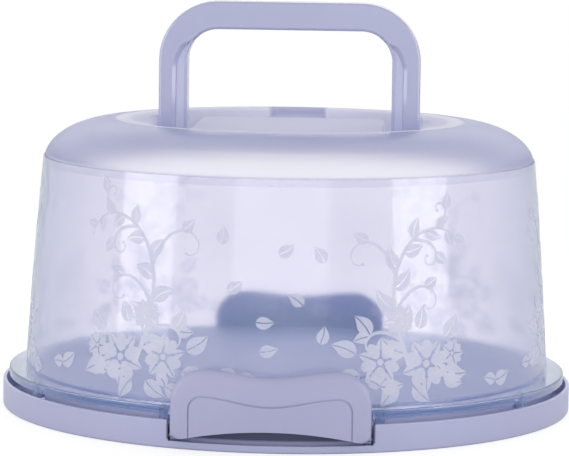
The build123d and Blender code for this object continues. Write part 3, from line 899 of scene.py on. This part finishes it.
class Print:
    """Flat shapes drawn on the unrolled wall, u round it and v up it, then wrapped round it."""

    def __init__(self):
        self.form = bmesh.new()
        self.shapes = 0

    def next_lift(self):
        """Each shape lies a hair above the last, so that none share a surface."""
        self.shapes += 1
        return (self.shapes % LAYERS) * LAYER

    def strip(self, path, half_width, steps):
        """Band along a path, as wide as half_width says."""
        grid = bmesh.ops.create_grid(self.form, x_segments=steps, y_segments=2, size=0.5)["verts"]
        lift = self.next_lift()
        for vert in grid:
            along = vert.co.x + 0.5
            across = 2 * vert.co.y
            u, v = beside(path, along, across * half_width(along))
            vert.co = (u, v, lift)

    def stem(self, path, start_width, end_width, steps):
        """Tapering stem."""
        self.strip(path, lambda t: start_width + (end_width - start_width) * t, steps)

    def leaf(self, u, v, bearing, length, width, bend=0.25):
        """Pointed leaf from a stalk point, split by its midrib."""
        half_midrib = 0.25 * mm

        def path(t):
            turn = bearing + bend * (t - 0.5)
            return u + length * t * cos(turn), v + length * t * sin(turn)

        for side in (1, -1):
            self.strip(
                lambda t, s=side: beside(path, t, s * (half_midrib + 0.5 * width * blade(t))),
                lambda t: 0.5 * width * blade(t),
                10,
            )

    def petal(self, u, v, bearing, length, width):
        """Round-ended petal."""
        narrow = 0.12

        def half_width(t):
            if t >= 1:
                return narrow * width
            return width * (narrow + (1 - narrow) * sin(pi * min(1, t**0.9 * 0.94)) ** 0.7)

        self.strip(
            lambda t: (u + length * t * cos(bearing), v + length * t * sin(bearing)),
            half_width,
            8,
        )

    def dot(self, u, v, radius):
        """Round dot."""
        disc = bmesh.ops.create_circle(self.form, cap_ends=True, segments=16, radius=radius)
        bmesh.ops.translate(self.form, verts=disc["verts"], vec=(u, v, self.next_lift()))

    def blossom(self, u, v, size, turn):
        """Simple blossom of five round petals, with slim pointed ones between, round a dot."""
        petals = 5
        petal_start = 0.20 * size
        leaf_start = 0.52 * size
        for index in range(petals):
            bearing = turn + 2 * pi * index / petals
            start = (u + petal_start * cos(bearing), v + petal_start * sin(bearing))
            self.petal(*start, bearing, 0.72 * size, 0.26 * size)
            bearing += pi / petals
            start = (u + leaf_start * cos(bearing), v + leaf_start * sin(bearing))
            self.leaf(*start, bearing, 0.52 * size, 0.17 * size, bend=0.0)
        self.dot(u, v, 0.14 * size)

    def spray(self, u, hand, tall):
        """A rising stem with leaves and tapering curls above a cluster of blossoms."""
        stem = curl_path(u, SPRAY_FOOT, pi / 2 - hand * 0.35, 118 * mm * tall, hand * 0.55)
        self.stem(stem, 1.3 * mm, 0.3 * mm, 44)
        for share, reach, turn in CURLS:
            bearing = bearing_at(stem, share) - hand * turn * 0.7
            curl = curl_path(*stem(share), bearing, reach * mm * tall, -hand * turn * 0.95)
            self.stem(curl, 0.95 * mm, 0.18 * mm, 30)
            on_curl = 0.42
            bearing = bearing_at(curl, on_curl) + hand * turn * 0.6
            self.leaf(*curl(on_curl), bearing, 9 * mm * tall, 2.6 * mm)
            self.dot(*curl(1.0), 0.8 * mm)
        for index in range(11):
            share = 0.05 + 0.085 * index
            length = (15 - 0.75 * index) * mm
            turn = 0.85 if index % 2 else -0.85
            bearing = bearing_at(stem, share) + hand * turn
            self.leaf(*stem(share), bearing, length, 0.27 * length, 0.5 * turn)
        for across, up, size, turn in BLOSSOMS:
            self.blossom(u + hand * across * mm, SPRAY_FOOT + up * mm, size * mm, turn)
        for across, up, bearing, length in CLUSTER_LEAVES:
            bearing = bearing if hand > 0 else pi - bearing
            start = (u + hand * across * mm, SPRAY_FOOT + up * mm)
            self.leaf(*start, bearing, length * mm, 0.3 * length * mm)

    def garland(self, pairs=24, spacing=34 * mm):
        """Pairs of small leaves low down round the wall."""
        for index in range(pairs):
            u = (index - (pairs - 1) / 2) * spacing
            v = (30 + 3 * sin(index * 2.4)) * mm
            lean = 0.5 * sin(index * 1.7)
            self.leaf(u, v, lean, 12 * mm, 3.6 * mm)
            self.leaf(u, v, pi - 0.5 + lean, 9 * mm, 2.8 * mm)

    def wrapped(self, name, material):
        """Wraps the print round the wall and gives it its thickness.

        A sheet that is thickened outwards comes inside out, so its faces are turned at the end.
        """
        form = self.form
        for vert in form.verts:
            height = vert.co.y
            angle = vert.co.x / belly_radius
            radius = wall_radius(height) + INK_LIFT + vert.co.z
            vert.co = (radius * sin(angle), -radius * cos(angle), height)
        bmesh.ops.recalc_face_normals(form, faces=form.faces)
        for face in form.faces:
            middle = face.calc_center_median()
            if face.normal.x * middle.x + face.normal.y * middle.y < 0:
                face.normal_flip()
        bmesh.ops.solidify(form, geom=form.faces[:], thickness=-INK_THICKNESS)
        bmesh.ops.reverse_faces(form, faces=form.faces)
        return new_piece(name, form, material)


def draw_print():
    """Whole print: sprays in front and behind, joined by a low garland."""
    pattern = Print()
    for u, hand, tall in SPRAYS:
        pattern.spray(u * mm, hand, tall)
    pattern.garland()
    for u, v, bearing in LOOSE_LEAVES:
        pattern.leaf(u * mm, v * mm, bearing, 9 * mm, 2.8 * mm)
    return pattern.wrapped("wall_print", ink)


wall_print = draw_print()
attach(wall_print, "lid")


# ---------------------------------------------------------------- stage and light
def seen_directly(nodes):
    """Whether the viewer sees a thing, straight or through clear plastic."""
    path = nodes.add("ShaderNodeLightPath").outputs
    return nodes.math("MAXIMUM", path["Is Camera Ray"], path["Is Transmission Ray"])


def stage_floor():
    """Pale floor that keeps the object's shadow and ends in plain white."""
    material, nodes = new_material("floor paper")
    paper = nodes.add("ShaderNodeBsdfDiffuse", Color=FLOOR)
    shaded = nodes.add("ShaderNodeBsdfDiffuse", Color=FLOOR_SEEN)
    fill = nodes.add("ShaderNodeEmission", Color=WHITE, Strength=FLOOR_FILL)
    white = nodes.add("ShaderNodeEmission", Color=WHITE, Strength=1.0)
    lit = nodes.add("ShaderNodeAddShader")
    nodes.feed(lit.inputs[0], shaded)
    nodes.feed(lit.inputs[1], fill)
    far = nodes.span(nodes.vector("LENGTH", nodes.place()).outputs["Value"], *FLOOR_FADE)
    shown = mix_shader(nodes, far, lit, white)
    surface = mix_shader(nodes, seen_directly(nodes), paper, shown)
    nodes.add("ShaderNodeOutputMaterial", Surface=surface)
    form = bmesh.new()
    bmesh.ops.create_grid(form, x_segments=8, y_segments=8, size=30)
    new_piece("floor", form, material)


def studio_world():
    """White surroundings to see; a softer studio, darker overhead, to light the object."""
    world = bpy.data.worlds.new("studio")
    bpy.context.scene.world = world
    world.use_nodes = True
    world.node_tree.nodes.clear()
    nodes = Nodes(world.node_tree)
    toward = nodes.add("ShaderNodeTexCoord").outputs["Generated"]
    toward = nodes.add("ShaderNodeSeparateXYZ", Vector=toward).outputs
    overhead = nodes.span(toward["Z"], 0.05, 0.75, STUDIO_WALLS, STUDIO_CEILING)
    high_behind = nodes.product(
        nodes.span(toward["Y"], 0.1, 0.8),
        nodes.span(toward["Z"], 0.05, 0.4),
    )
    level = nodes.math("ADD", overhead, nodes.product(high_behind, REAR_GLOW))
    level = nodes.math("MAXIMUM", level, seen_directly(nodes))
    sky = nodes.add("ShaderNodeBackground", Color=WHITE, Strength=level)
    nodes.add("ShaderNodeOutputWorld", Surface=sky)


def softbox(name, bearing, distance, low, high, width, power, in_gloss=True, on_faces=True):
    """Soft lamp facing the object; bearing is in degrees from the front, to the right."""
    lamp = bpy.data.lights.new(name, "AREA")
    lamp.shape = "RECTANGLE"
    lamp.size = width
    lamp.size_y = high - low
    lamp.energy = power
    holder = bpy.data.objects.new(name, lamp)
    bpy.context.scene.collection.objects.link(holder)
    turn = radians(bearing)
    holder.location = (distance * sin(turn), -distance * cos(turn), (low + high) / 2)
    aim = Vector((0, 0, 0.08)) - holder.location
    holder.rotation_euler = aim.to_track_quat("-Z", "Y").to_euler()
    holder.visible_camera = False
    holder.visible_glossy = in_gloss
    holder.visible_diffuse = on_faces


stage_floor()
studio_world()
for name, bearing in (("left softbox", -58.3), ("right softbox", 60.2)):
    softbox(name, bearing, 0.75, low=0.01, high=0.55, width=0.37, power=1.60, on_faces=False)
for name, bearing in (("left fill", -60), ("right fill", 62)):
    softbox(name, bearing, 1.15, low=0.10, high=0.85, width=0.42, power=1.4, in_gloss=False)
softbox("front fill", 0.0, 2.6, low=0.1, high=0.9, width=2.0, power=14.0, in_gloss=False)

# ---------------------------------------------------------------- camera
view_bearing = 0.05203
view_drop = 0.11164
view_roll = 0.0143
view_distance = 10.5 * tray_radius
aim_height = 0.62181 * tray_radius
aim_side = -0.0134 * tray_radius

level_right = Vector((cos(view_bearing), sin(view_bearing), 0))
level_forward = Vector((-sin(view_bearing), cos(view_bearing), 0))
forward = cos(view_drop) * level_forward - Vector((0, 0, sin(view_drop)))
level_up = level_right.cross(forward)
right = cos(view_roll) * level_right + sin(view_roll) * level_up
up = cos(view_roll) * level_up - sin(view_roll) * level_right
eye = level_right * aim_side + Vector((0, 0, aim_height)) - forward * view_distance

lens = bpy.data.cameras.new("camera")
lens.sensor_width = 36
lens.lens = 188.1
camera = bpy.data.objects.new("camera", lens)
bpy.context.scene.collection.objects.link(camera)
turn = Matrix((right, up, -forward)).transposed().to_4x4()
camera.matrix_world = Matrix.Translation(eye) @ turn
bpy.context.scene.camera = camera
bpy.context.scene.view_settings.view_transform = "Standard"
